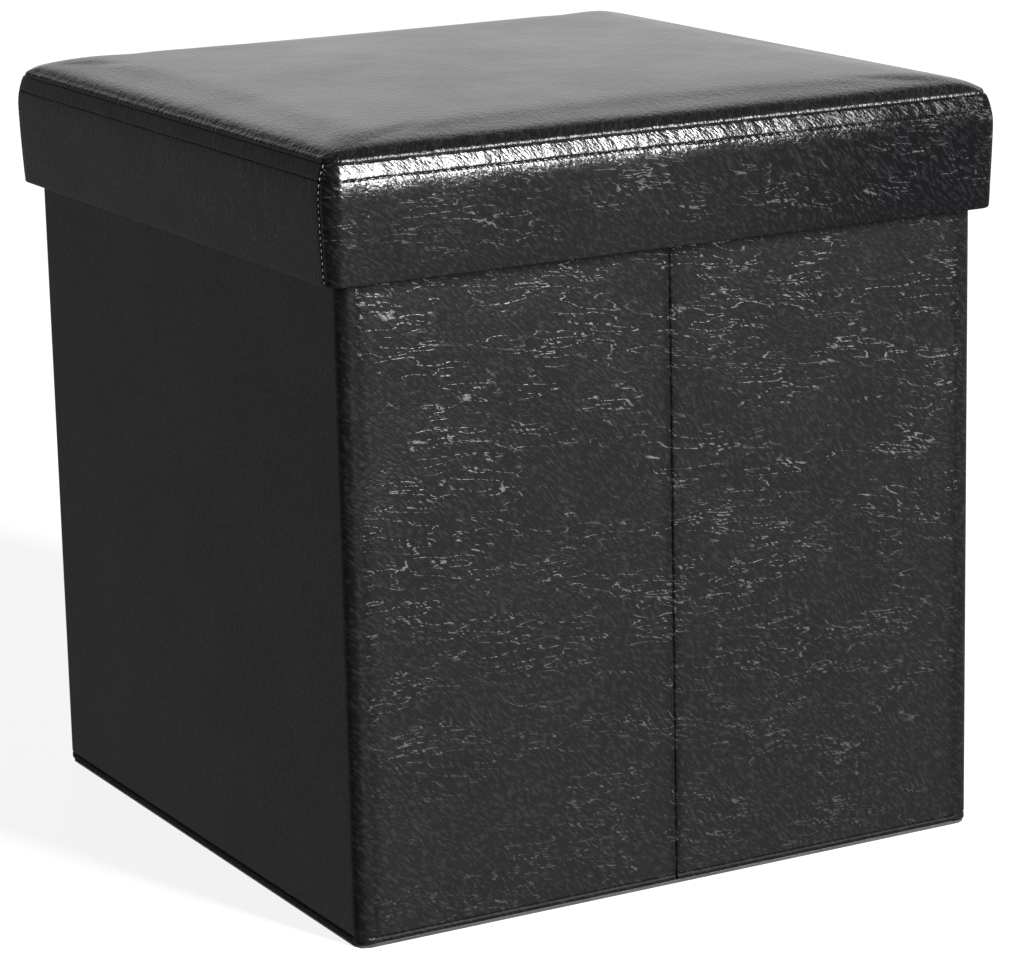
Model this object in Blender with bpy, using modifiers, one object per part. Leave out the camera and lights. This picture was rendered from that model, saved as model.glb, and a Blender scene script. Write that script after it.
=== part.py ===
"""A folding storage ottoman: a padded lid over a box of six hinged panels, in metres.

The box stands on a cloth bottom. Its front and back are each two panels that fold inwards at a
sewn seam, so the box collapses against its left wall. A loose base board lies inside it.
Front is -Y, up is +Z, and the origin is at the centre of the footprint.
"""

import math

import bmesh
import bpy
from mathutils import Matrix, Vector

# Box
RING_WIDTH = 0.360        # outside of the left wall to outside of the right wall
RING_DEPTH = 0.360        # outside of the front to outside of the back
RING_TOP = 0.379          # top of the walls
COVER = 0.0012            # faux leather with its backing
BOARD = 0.0045            # stiff board in a wall
LINING = 0.0008           # non-woven lining of a wall
LIP = 0.025               # how far the cover turns down inside the top edge
BOARD_INSET = 0.001       # a board ends this far inside its cover
CORNER_RADIUS = 0.0062    # outside radius of a soft corner
FLOOR_CLOTH = 0.0012      # cloth bottom
FLOOR_INSET = 0.0005      # the cloth bottom ends this far inside the footprint
WALL_FOOT = 0.0055        # underside of the stiff walls; the soft hems are below it

# Folding
HINGE_IN = 0.0016         # corner hinge axis, inwards of the side wall's inner face
HINGE_DEEP = 0.0004       # corner hinge axis, inside the folding panel's inner face
SEAM_OUT = 0.0003         # seam hinge axis, outside the panel's outer face
SEAM_WELT = 0.0010        # thickness of the sewn seam between two folding panels
SEAM_BACK = 0.0004        # the seam starts this far behind the outer face

# Base board
BASE_PANEL = 0.0027       # thickness of the hardboard
BASE_WRAP = 0.0005        # thickness of its non-woven wrap
BASE_CLEAR = 0.0025       # clearance between the wrap and the walls

# Lid
LID_CLEAR = 0.0005        # from the top of the walls to the lid's lining
SKIRT_CLEAR = 0.0031      # from the outside of the walls to the skirt's lining
SKIRT_DROP = 0.051        # how far the skirt hangs below the top of the walls
SKIRT_TURN = 0.0015       # the skirt cover reaches this far below its board
SKIRT_LINING = 0.0006
SKIRT_BOARD = 0.0025
SKIRT_FLARE = 0.0020      # the skirt's top edge is this much wider on each side
SKIRT_CORNER = 0.008      # outside radius of the skirt's corner at its bottom edge
SKIRT_WRAP = 80.0         # degrees of each corner that the front and back covers wrap
LID_LINING = 0.0006
LID_BOARD = 0.0040
LID_FOAM = 0.0120
TOP_SEAM = 0.0019         # the top seam is this far above the lid board
TOP_EDGE = 0.0095         # radius of the padded top edge
CORNER_STEPS = 6          # facets in a quarter turn
SHARP = math.radians(30)  # edges sharper than this stay crisp
AXIS_MARK = 0.03          # display size of the empties on the axes

GAP = 0.0003              # between pieces that touch

# Worked out from the sizes above
BOARD_FACE = COVER + GAP
LINING_FACE = BOARD_FACE + BOARD + GAP
WALL = LINING_FACE + COVER
HINGE_X = WALL + HINGE_IN
HINGE_Y = WALL - HINGE_DEEP
HEM_FOOT = FLOOR_CLOTH + GAP
HEM_TOP = WALL_FOOT - GAP
SEAM_HALF = SEAM_WELT / 2 + GAP
SKIRT_OUT = SKIRT_CLEAR + SKIRT_LINING + GAP + SKIRT_BOARD + GAP + COVER
SKIRT_BOARD_OUT = SKIRT_OUT - COVER - GAP
SKIRT_LINING_OUT = SKIRT_CLEAR + SKIRT_LINING
SKIRT_BOTTOM = RING_TOP - SKIRT_DROP
LID_LINING_Z = RING_TOP + LID_CLEAR
LID_BOARD_Z = LID_LINING_Z + LID_LINING + GAP
LID_FOAM_Z = LID_BOARD_Z + LID_BOARD + GAP
TOP_SEAM_Z = LID_BOARD_Z + LID_BOARD + TOP_SEAM
LID_TOP = LID_FOAM_Z + LID_FOAM + GAP + COVER
TOP_OUT = SKIRT_OUT + SKIRT_FLARE

SIDES = {"front": 0.0, "right": 90.0, "back": 180.0, "left": 270.0}

BLACK_LEATHER = ("black_leather", (0.013, 0.013, 0.014), 0.42)
BLACK_CLOTH = ("black_nonwoven", (0.022, 0.022, 0.024), 0.95)
HARDBOARD = ("hardboard", (0.30, 0.20, 0.12), 0.75)
GREY_CARD = ("grey_card", (0.36, 0.34, 0.31), 0.85)
FOAM = ("pad_foam", (0.75, 0.72, 0.62), 0.95)


def clear_scene():
    """Leave an empty scene."""
    for obj in list(bpy.data.objects):
        bpy.data.objects.remove(obj)


def material(look):
    """The plain material of a look, made once."""
    name, colour, roughness = look
    found = bpy.data.materials.get(name)
    if found:
        return found
    made = bpy.data.materials.new(name)
    made.use_nodes = True
    shader = made.node_tree.nodes["Principled BSDF"]
    shader.inputs["Base Color"].default_value = (*colour, 1.0)
    shader.inputs["Roughness"].default_value = roughness
    shader.inputs["Metallic"].default_value = 0.0
    made.diffuse_color = (*colour, 1.0)
    return made


def body(collection, name, at, parent=None):
    """An empty on a body's joint axis, which carries the body's pieces."""
    empty = bpy.data.objects.new(name, None)
    empty.empty_display_size = AXIS_MARK
    empty.location = Vector(at)
    if parent:
        empty.parent = parent
        empty.location -= Vector(parent["axis_at"])
    empty["axis_at"] = at
    collection.objects.link(empty)
    return empty


def add_piece(mesh_maker, name, look, carrier):
    """A named object from a bmesh in world coordinates, hung on its body's empty."""
    at = Vector(carrier["axis_at"])
    bmesh.ops.translate(mesh_maker, verts=mesh_maker.verts, vec=-at)
    mesh = bpy.data.meshes.new(name)
    mesh_maker.to_mesh(mesh)
    mesh_maker.free()
    mesh.shade_smooth()
    mesh.set_sharp_from_angle(angle=SHARP)
    mesh.materials.append(material(look))
    obj = bpy.data.objects.new(name, mesh)
    obj.parent = carrier
    carrier.users_collection[0].objects.link(obj)
    return obj


def side_matrix(side, out=0.0):
    """Turn a side's own frame into the world: x along the side, y inwards from its face, z up."""
    reach = RING_DEPTH / 2 if side in ("front", "back") else RING_WIDTH / 2
    turn = Matrix.Rotation(math.radians(SIDES[side]), 4, "Z")
    return turn @ Matrix.Translation((0.0, -reach - out, 0.0))


def side_half(side):
    """Half the length of a side of the box."""
    return RING_WIDTH / 2 if side in ("front", "back") else RING_DEPTH / 2


def box(name, low, high, look, carrier, frame=None):
    """A plain box between two corners, in a side's frame or in the world."""
    cage = bmesh.new()
    low, high = Vector(low), Vector(high)
    size = Matrix.Diagonal((*(high - low), 1.0))
    bmesh.ops.create_cube(cage, size=1.0, matrix=Matrix.Translation((low + high) / 2) @ size)
    if frame:
        bmesh.ops.transform(cage, matrix=frame, verts=cage.verts)
    return add_piece(cage, name, look, carrier)


def solidify(obj, thickness):
    """Thicken an open surface away from the side its faces point to."""
    thicken = obj.modifiers.new("thickness", "SOLIDIFY")
    thicken.thickness = thickness
    thicken.offset = -1.0
    thicken.use_even_offset = True
    return obj


def swept_sheet(name, path, shift, thickness, outward, look, carrier, frame=None):
    """A sheet: a row of points swept to a second row, thickened away from `outward`.

    `shift` gives the second row's point for each point of the first.
    """
    cage = bmesh.new()
    points = [cage.verts.new(point) for point in path]
    edges = [cage.edges.new(pair) for pair in zip(points, points[1:])]
    raised = bmesh.ops.extrude_edge_only(cage, edges=edges)["geom"]
    swept = [item for item in raised if isinstance(item, bmesh.types.BMVert)]
    for vert in swept:
        vert.co = shift(vert.co)
    cage.normal_update()
    if points[0].link_faces[0].normal.dot(Vector(outward)) < 0:
        bmesh.ops.reverse_faces(cage, faces=cage.faces)
    if frame:
        bmesh.ops.transform(cage, matrix=frame, verts=cage.verts)
    return solidify(add_piece(cage, name, look, carrier), thickness)


def arc(centre, radius, start, end, steps):
    """Points of an arc in plan, by angles in degrees."""
    turns = (math.radians(start + (end - start) * step / steps) for step in range(steps + 1))
    return [(centre[0] + radius * math.cos(a), centre[1] + radius * math.sin(a)) for a in turns]


def wall_panel(name, side, start, end, carrier):
    """One stiff panel of the box: cover over the top edge, board, lining, and the hem below it."""
    frame = side_matrix(side)
    cover_profile = [
        (start, 0.0, WALL_FOOT),
        (start, 0.0, RING_TOP),
        (start, WALL, RING_TOP),
        (start, WALL, RING_TOP - LIP),
    ]
    swept_sheet(f"{name}_cover", cover_profile, lambda at: Vector((end, at.y, at.z)), COVER,
                (0, -1, 0), BLACK_LEATHER, carrier, frame)
    box(f"{name}_board", (start + BOARD_INSET, BOARD_FACE, WALL_FOOT),
        (end - BOARD_INSET, BOARD_FACE + BOARD, RING_TOP - COVER - GAP), GREY_CARD, carrier, frame)
    box(f"{name}_lining", (start, LINING_FACE, WALL_FOOT),
        (end, LINING_FACE + LINING, RING_TOP - LIP - GAP), BLACK_CLOTH, carrier, frame)
    box(f"{name}_hem", (start, 0.0, HEM_FOOT), (end, WALL, HEM_TOP), BLACK_LEATHER, carrier, frame)


def seam(name, side, carrier):
    """The sewn edge between two folding panels, in the gap between them."""
    box(name, (-SEAM_WELT / 2, SEAM_BACK, WALL_FOOT), (SEAM_WELT / 2, WALL, RING_TOP),
        BLACK_LEATHER, carrier, side_matrix(side))


def soft_corner(name, right, back, carrier):
    """The soft strip round a corner of the box, which bends when the box folds."""
    along_side = HINGE_Y - GAP
    along_front = HINGE_X - GAP
    radius = min(CORNER_RADIUS, along_side - GAP)
    plan = [(0.0, along_side)]
    plan += arc((radius, radius), radius, 180, 270, CORNER_STEPS)
    plan += [(along_front, 0.0)]
    x_sign = 1 if right else -1
    y_sign = 1 if back else -1
    path = [
        (x_sign * (RING_WIDTH / 2 - x), y_sign * (RING_DEPTH / 2 - y), HEM_FOOT) for x, y in plan
    ]
    swept_sheet(name, path, lambda at: Vector((at.x, at.y, RING_TOP)), COVER, (x_sign, 0, 0),
                BLACK_LEATHER, carrier)


def base_board(carrier):
    """The loose board in the bottom and the wrap that covers its top and edges."""
    half_x = RING_WIDTH / 2 - WALL - BASE_CLEAR
    half_y = RING_DEPTH / 2 - WALL - BASE_CLEAR
    wall = BASE_WRAP + GAP
    top = HEM_FOOT + BASE_PANEL
    box("base_panel", (-half_x + wall, -half_y + wall, HEM_FOOT),
        (half_x - wall, half_y - wall, top), HARDBOARD, carrier)
    wrap = pan((half_x, half_y), HEM_FOOT, top + wall, 0.0, 0.0)
    solidify(add_piece(wrap, "base_wrap", BLACK_CLOTH, carrier), BASE_WRAP)


def pan(half, low, high, corner, edge):
    """An open-bottomed box surface, its corners and its top edge rounded."""
    cage = rounded_block(half, low, high, corner, edge)
    under = [face for face in cage.faces if face.calc_center_median().z < low + GAP / 2]
    bmesh.ops.delete(cage, geom=under, context="FACES")
    return cage


def rounded_block(half, low, high, corner, edge):
    """A block with its corners rounded in plan and its top edge rounded."""
    cage = bmesh.new()
    size = Matrix.Diagonal((2 * half[0], 2 * half[1], high - low, 1.0))
    bmesh.ops.create_cube(cage, size=1.0, matrix=Matrix.Translation((0, 0, (low + high) / 2)) @ size)
    if corner:
        upright = [e for e in cage.edges if abs(e.verts[0].co.z - e.verts[1].co.z) > (high - low) / 2]
        bmesh.ops.bevel(cage, geom=upright, offset=corner, offset_type="OFFSET",
                        segments=CORNER_STEPS, profile=0.5, affect="EDGES")
    edge = min(edge, corner - GAP, high - low - GAP)
    if edge > 0:
        rim = [e for e in cage.edges if all(v.co.z > high - GAP / 2 for v in e.verts)]
        bmesh.ops.bevel(cage, geom=rim, offset=edge, offset_type="OFFSET",
                        segments=CORNER_STEPS - 1, profile=0.5, affect="EDGES")
    cage.normal_update()
    return cage


def lid_half(out):
    """Half of the lid's plan, `out` beyond the walls."""
    return RING_WIDTH / 2 + out, RING_DEPTH / 2 + out


def lid_top(carrier):
    """The lid's board, the foam on it, the padded cover over both and the lining under them."""
    inside = lid_half(SKIRT_CLEAR - GAP)
    box("lid_lining", (-inside[0], -inside[1], LID_LINING_Z),
        (inside[0], inside[1], LID_LINING_Z + LID_LINING), BLACK_CLOTH, carrier)
    board_corner = SKIRT_CORNER - (SKIRT_OUT - SKIRT_BOARD_OUT)
    board = rounded_block(lid_half(SKIRT_BOARD_OUT), LID_BOARD_Z, LID_BOARD_Z + LID_BOARD,
                          board_corner, 0.0)
    add_piece(board, "lid_board", HARDBOARD, carrier)
    wall = COVER + GAP
    corner = SKIRT_CORNER + SKIRT_FLARE
    foam = rounded_block(lid_half(TOP_OUT - wall), LID_FOAM_Z, LID_FOAM_Z + LID_FOAM,
                         corner - wall, TOP_EDGE - wall)
    add_piece(foam, "lid_foam", FOAM, carrier)
    cover = pan(lid_half(TOP_OUT), TOP_SEAM_Z, LID_TOP, corner, TOP_EDGE)
    solidify(add_piece(cover, "lid_top_cover", BLACK_LEATHER, carrier), COVER)


def skirt(side, carrier):
    """One side of the lid's skirt: the cover, its corners rounded, over a board and a lining."""
    frame = side_matrix(side, SKIRT_OUT)
    half = side_half(side)
    centre = half + SKIRT_OUT - SKIRT_CORNER
    wrap = SKIRT_WRAP if side in ("front", "back") else 90.0 - SKIRT_WRAP
    half_gap = math.degrees(GAP / 2 / (SKIRT_CORNER - COVER))
    steps = max(1, round(CORNER_STEPS * wrap / 90.0))
    right = arc((centre, SKIRT_CORNER), SKIRT_CORNER, 270, 270 + wrap - half_gap, steps)
    plan = [(-x, y) for x, y in reversed(right)] + right
    height = TOP_SEAM_Z - GAP - SKIRT_BOTTOM
    spread = (SKIRT_CORNER + SKIRT_FLARE) / SKIRT_CORNER

    def flared(at):
        """The top edge's point, further out from the corner's centre."""
        side_x = math.copysign(max(abs(at.x) - centre, 0.0) * spread, at.x)
        x = max(min(at.x, centre), -centre) + side_x
        y = SKIRT_CORNER + (at.y - SKIRT_CORNER) * spread
        return Vector((x, y, at.z + height))

    swept_sheet(f"skirt_{side}_cover", [(x, y, SKIRT_BOTTOM) for x, y in plan], flared, COVER,
                (0, -1, 0), BLACK_LEATHER, carrier, frame)
    board_face = SKIRT_OUT - SKIRT_BOARD_OUT
    foot = SKIRT_BOTTOM + SKIRT_TURN
    box(f"skirt_{side}_board", (-centre, board_face, foot),
        (centre, board_face + SKIRT_BOARD, LID_BOARD_Z - GAP), GREY_CARD, carrier, frame)
    lining_face = SKIRT_OUT - SKIRT_LINING_OUT
    box(f"skirt_{side}_lining", (-centre, lining_face, foot),
        (centre, lining_face + SKIRT_LINING, LID_BOARD_Z - GAP), BLACK_CLOTH, carrier, frame)


def build_box(collection):
    """The six panels on their hinges, the soft corners and seams, and the cloth bottom."""
    hinge_x = RING_WIDTH / 2 - HINGE_X
    hinge_y = RING_DEPTH / 2 - HINGE_Y
    seam_y = RING_DEPTH / 2 + SEAM_OUT
    left = body(collection, "left_wall_body", (0.0, 0.0, 0.0))
    front_left = body(collection, "front_left_hinge", (-hinge_x, -hinge_y, 0.0), left)
    front_right = body(collection, "front_seam_hinge", (0.0, -seam_y, 0.0), front_left)
    right = body(collection, "right_wall_hinge", (hinge_x, -hinge_y, 0.0), front_right)
    back_left = body(collection, "back_left_hinge", (-hinge_x, hinge_y, 0.0), left)
    back_right = body(collection, "back_seam_hinge", (0.0, seam_y, 0.0), back_left)

    wall_panel("left", "left", -hinge_y, hinge_y, left)
    wall_panel("right", "right", -hinge_y, hinge_y, right)
    wall_panel("front_left", "front", -hinge_x, -SEAM_HALF, front_left)
    wall_panel("front_right", "front", SEAM_HALF, hinge_x, front_right)
    wall_panel("back_left", "back", SEAM_HALF, hinge_x, back_left)
    wall_panel("back_right", "back", -hinge_x, -SEAM_HALF, back_right)
    seam("front_seam", "front", front_left)
    seam("back_seam", "back", back_left)
    soft_corner("corner_front_left", False, False, left)
    soft_corner("corner_back_left", False, True, left)
    soft_corner("corner_front_right", True, False, right)
    soft_corner("corner_back_right", True, True, right)

    floor_x, floor_y = RING_WIDTH / 2 - FLOOR_INSET, RING_DEPTH / 2 - FLOOR_INSET
    cloth = rounded_block((floor_x, floor_y), 0.0, FLOOR_CLOTH, CORNER_RADIUS, 0.0)
    add_piece(cloth, "floor_cloth", BLACK_CLOTH, left)
    return left


def build():
    """The whole ottoman."""
    clear_scene()
    collection = bpy.data.collections.new("storage_ottoman")
    bpy.context.scene.collection.children.link(collection)
    standing = build_box(collection)
    base_board(body(collection, "base_board_body", (0.0, 0.0, 0.0), standing))
    lid = body(collection, "lid_body", (0.0, 0.0, 0.0), standing)
    lid_top(lid)
    for side in SIDES:
        skirt(side, lid)


build()
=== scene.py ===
"""Looks of the storage ottoman: a folding box in black faux leather with a padded, sewn lid.

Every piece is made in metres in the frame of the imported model: front is -Y, left is -X, up is +Z.
An offset is a distance outwards from the box's outside faces, and an inset is one inwards.
"""

import math

import bmesh
import bpy
import numpy as np
from mathutils import Matrix, Vector


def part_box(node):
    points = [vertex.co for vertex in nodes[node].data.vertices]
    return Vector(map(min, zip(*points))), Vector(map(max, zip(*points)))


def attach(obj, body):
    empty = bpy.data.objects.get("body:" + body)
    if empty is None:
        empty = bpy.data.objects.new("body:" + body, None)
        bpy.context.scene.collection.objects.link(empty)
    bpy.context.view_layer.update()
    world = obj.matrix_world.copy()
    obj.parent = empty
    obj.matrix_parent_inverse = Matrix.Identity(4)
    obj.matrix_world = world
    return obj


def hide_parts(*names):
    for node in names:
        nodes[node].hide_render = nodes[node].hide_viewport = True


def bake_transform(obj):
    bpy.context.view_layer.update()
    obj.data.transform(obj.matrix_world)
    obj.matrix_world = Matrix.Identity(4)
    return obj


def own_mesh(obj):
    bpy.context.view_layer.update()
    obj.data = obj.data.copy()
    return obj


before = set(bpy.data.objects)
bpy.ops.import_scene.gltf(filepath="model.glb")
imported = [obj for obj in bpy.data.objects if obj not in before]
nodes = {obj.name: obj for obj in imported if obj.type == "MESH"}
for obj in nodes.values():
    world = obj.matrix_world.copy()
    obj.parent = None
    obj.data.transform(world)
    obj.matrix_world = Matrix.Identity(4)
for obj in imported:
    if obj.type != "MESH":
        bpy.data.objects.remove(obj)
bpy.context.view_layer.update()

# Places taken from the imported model
COVER_LOW, COVER_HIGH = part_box("left_cover")
RING = -COVER_LOW.x                          # half the box's outside width
WALL_LOW, WALL_TOP = COVER_LOW.z, COVER_HIGH.z
WALL_DEEP = COVER_HIGH.x - COVER_LOW.x
WALL_END = abs(COVER_LOW.y)                  # where the covers of the end walls stop
PANEL_END = abs(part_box("front_left_cover")[0].x)      # where the front and back covers stop
LIP_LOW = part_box("left_lining")[1].z + 0.0003
HEM_LOW, HEM_TOP = (corner.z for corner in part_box("left_hem"))
SKIRT_LOW, LID_SEAM = (corner.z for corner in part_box("skirt_front_cover"))
LID_OUT = -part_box("lid_top_cover")[0].x - RING
LID_BOARD_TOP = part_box("lid_board")[1].z
SKIRT_LINING_IN = -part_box("skirt_front_lining")[1].y - RING

# Sizes of the sewn detail
LEATHER = 0.0012          # thickness of the faux leather
STEP = 0.0018             # spacing of the mesh over a cover
CORNER_ROUND = 0.0062     # outside radius of the box's upright corners
TOP_ROUND = 0.0024        # radius of the wall's top edge
SEAM_ROUND = 0.0011       # radius of a cover's edge where it turns into a seam
SEAM_REACH = 0.0006       # a cover reaches this far past its board into a seam
END_REACH = 0.00015       # and this far past it at a corner
STITCH_HEIGHT = 0.3781    # height of the topstitch round the lid
STITCH_PITCH = 0.0040
STITCH_LONG = 0.0027
THREAD = 0.00055
SKIRT_CORNER = 0.009      # mean radius of the outside of the skirt's corner
CORNER_WRAP = 80.0        # degrees of each corner that the front and back skirts wrap

WHITE = (1.0, 1.0, 1.0, 1.0)
SIDES = {"front": ("y", -1), "back": ("y", 1), "left": ("x", -1), "right": ("x", 1)}
FOLDING = ("front", "back")     # the sides that fold in the middle


# ------------------------------------ shapes

def waves(u, v, length, seed, count=10):
    """Smooth, even undulation about 0 with a size of about 1, and bumps about length apart."""
    dice = np.random.default_rng(seed)
    total = 0.0
    for turn, phase, stretch in dice.uniform((0, 0, 0.7), (math.tau, math.tau, 1.5), (count, 3)):
        across = u * math.cos(turn) + v * math.sin(turn)
        total = total + np.sin(math.tau * across / (length * stretch) + phase)
    return total / math.sqrt(count)


def fade(value, start, end):
    """0 before start, 1 after end, and smooth between them."""
    share = np.clip((value - start) / (end - start), 0, 1)
    return share * share * (3 - 2 * share)


def place(side, along, offset, height):
    """Points from distances along a side, outwards from its face, and up."""
    axis, sign = SIDES[side]
    along, offset, height = np.broadcast_arrays(along, offset, height)
    out = sign * (RING + offset)
    across = (out, along) if axis == "x" else (along, out)
    return np.stack([*across, height], axis=-1)


def run(side, low, high):
    """Where a box with these two corners starts and ends along a side."""
    return (low.x, high.x) if SIDES[side][0] == "y" else (low.y, high.y)


def arc(centre, radius, start, end, steps):
    """Points along an arc, from start to end degrees."""
    turn = np.radians(np.linspace(start, end, steps + 1))
    return [(centre[0] + radius * math.cos(t), centre[1] + radius * math.sin(t)) for t in turn]


def steps_between(start, end, step):
    """Evenly spaced values about step apart, both ends included."""
    return np.linspace(start, end, max(2, round(abs(end - start) / step) + 1))


def new_object(name, data):
    made = bpy.data.objects.new(name, data)
    bpy.context.scene.collection.objects.link(made)
    return made


def make_object(name, points, faces):
    mesh = bpy.data.meshes.new(name)
    mesh.from_pydata([tuple(p) for p in points], [], faces)
    return new_object(name, mesh)


def seen_mesh(piece):
    """The piece's mesh with its modifiers applied."""
    bpy.context.view_layer.update()
    return bpy.data.meshes.new_from_object(piece.evaluated_get(bpy.context.evaluated_depsgraph_get()))


def vertex_places(mesh):
    return np.array([v.co for v in mesh.vertices])


def move_vertices(mesh, points):
    mesh.vertices.foreach_set("co", points.ravel())
    mesh.update()


def finish_mesh(piece, sharp=50.0):
    """Closes doubled points, turns faces outwards and shades them smooth up to a sharp edge."""
    made = bmesh.new()
    made.from_mesh(piece.data)
    bmesh.ops.remove_doubles(made, verts=made.verts, dist=1e-6)
    bmesh.ops.dissolve_degenerate(made, edges=made.edges, dist=1e-6)
    bmesh.ops.recalc_face_normals(made, faces=made.faces)
    made.to_mesh(piece.data)
    made.free()
    piece.data.shade_smooth()
    piece.data.set_sharp_from_angle(angle=math.radians(sharp))
    return piece


def sweep(name, loops, sharp=50.0):
    """A closed piece from closed outlines, one after another, with both ends capped.

    An outline's first half runs along one face, and its second half comes back along the other."""
    stations, around, _ = loops.shape
    index = np.arange(stations * around).reshape(stations, around)
    turned = np.roll(index, -1, axis=1)
    sides = np.stack([index[:-1], index[1:], turned[1:], turned[:-1]], axis=-1).reshape(-1, 4)
    half = np.arange(around // 2 - 1)
    cap = np.stack([half, half + 1, around - 2 - half, around - 1 - half], axis=-1)
    faces = sides.tolist() + cap.tolist() + (cap[:, ::-1] + index[-1, 0]).tolist()
    return finish_mesh(make_object(name, loops.reshape(-1, 3), faces), sharp)


def give(piece, finish, slot, body, *stands_for):
    """Gives a piece its finish and its body, and hides the nodes it stands for. The slot is not used."""
    piece.data.materials.clear()
    piece.data.materials.append(finish)
    if body:
        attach(piece, body)
    if stands_for:
        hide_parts(*stands_for)


# ------------------------------------ finishes

def add_node(tree, kind, inputs=None, **settings):
    """A node with its settings, and values or links for its inputs."""
    node = tree.nodes.new(kind)
    for name, value in settings.items():
        setattr(node, name, value)
    for name, value in (inputs or {}).items():
        if isinstance(value, bpy.types.NodeSocket):
            tree.links.new(value, node.inputs[name])
        else:
            node.inputs[name].default_value = value
    return node


class Finish:
    """A material under construction, with short ways to add its nodes."""

    def __init__(self, name, colour, roughness, more=None):
        self.material = bpy.data.materials.new(name)
        self.material.use_nodes = True
        self.tree = self.material.node_tree
        self.tree.nodes.clear()
        inputs = {"Base Color": (*colour, 1.0), "Roughness": roughness, **(more or {})}
        self.shader = self.add("BsdfPrincipled", inputs)
        self.add("OutputMaterial", {"Surface": self.shader.outputs["BSDF"]})
        self.place = self.add("TexCoord").outputs["Object"]

    def add(self, kind, inputs=None, **settings):
        return add_node(self.tree, "ShaderNode" + kind, inputs, **settings)

    def stretched(self, scale, turn=(0, 0, 0), source=None, shift=(0, 0, 0)):
        """Coordinates turned and then scaled along their own axes."""
        inputs = {"Vector": source or self.place, "Rotation": turn}
        turned = self.add("VectorRotate", inputs, rotation_type="EULER_XYZ").outputs[0]
        return self.add("Mapping", {"Vector": turned, "Scale": scale, "Location": shift}).outputs[0]

    def noise(self, scale, *where, detail=2.0, rough=0.5, bend=0.0, **more):
        """Noise with bumps about 1/scale apart; the other values are those of stretched."""
        inputs = {"Vector": self.stretched(scale, *where, **more), "Scale": 1.0,
                  "Detail": detail, "Roughness": rough, "Distortion": bend}
        return self.add("TexNoise", inputs).outputs["Fac"]

    def cells(self, scale, *where):
        """Distance from the middle of the nearest of many small cells."""
        inputs = {"Vector": self.stretched(scale, *where), "Scale": 1.0}
        return self.add("TexVoronoi", inputs).outputs["Distance"]

    def ranged(self, value, low, high, to_low=0.0, to_high=1.0):
        """A value taken smoothly from one range to another."""
        inputs = {"Value": value, "From Min": low, "From Max": high, "To Min": to_low, "To Max": to_high}
        return self.add("MapRange", inputs, interpolation_type="SMOOTHSTEP").outputs["Result"]

    def math(self, operation, first, second=0.0):
        return self.add("Math", {0: first, 1: second}, operation=operation).outputs[0]

    def times(self, first, *others):
        for other in others:
            first = self.math("MULTIPLY", first, other)
        return first

    def mix(self, share, first, second):
        """A colour between two, each (r, g, b)."""
        inputs = {"Factor": share, 6: (*first, 1.0), 7: (*second, 1.0)}
        return self.add("Mix", inputs, data_type="RGBA").outputs[2]

    def bump(self, height, depth, under=None):
        """A bump of the given depth in metres, over another if there is one."""
        inputs = {"Height": height, "Distance": depth, "Strength": 1.0}
        if under is not None:
            inputs["Normal"] = under
        return self.add("Bump", inputs).outputs["Normal"]

    def link(self, value, name):
        self.tree.links.new(value, self.shader.inputs[name])


GLOSS = "Specular IOR Level"
GRAIN_DEPTH = 0.00028         # depth of the leather's grain
GATHER_DEPTH = 0.0006         # depth of its puckers and gathers beside a seam


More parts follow.
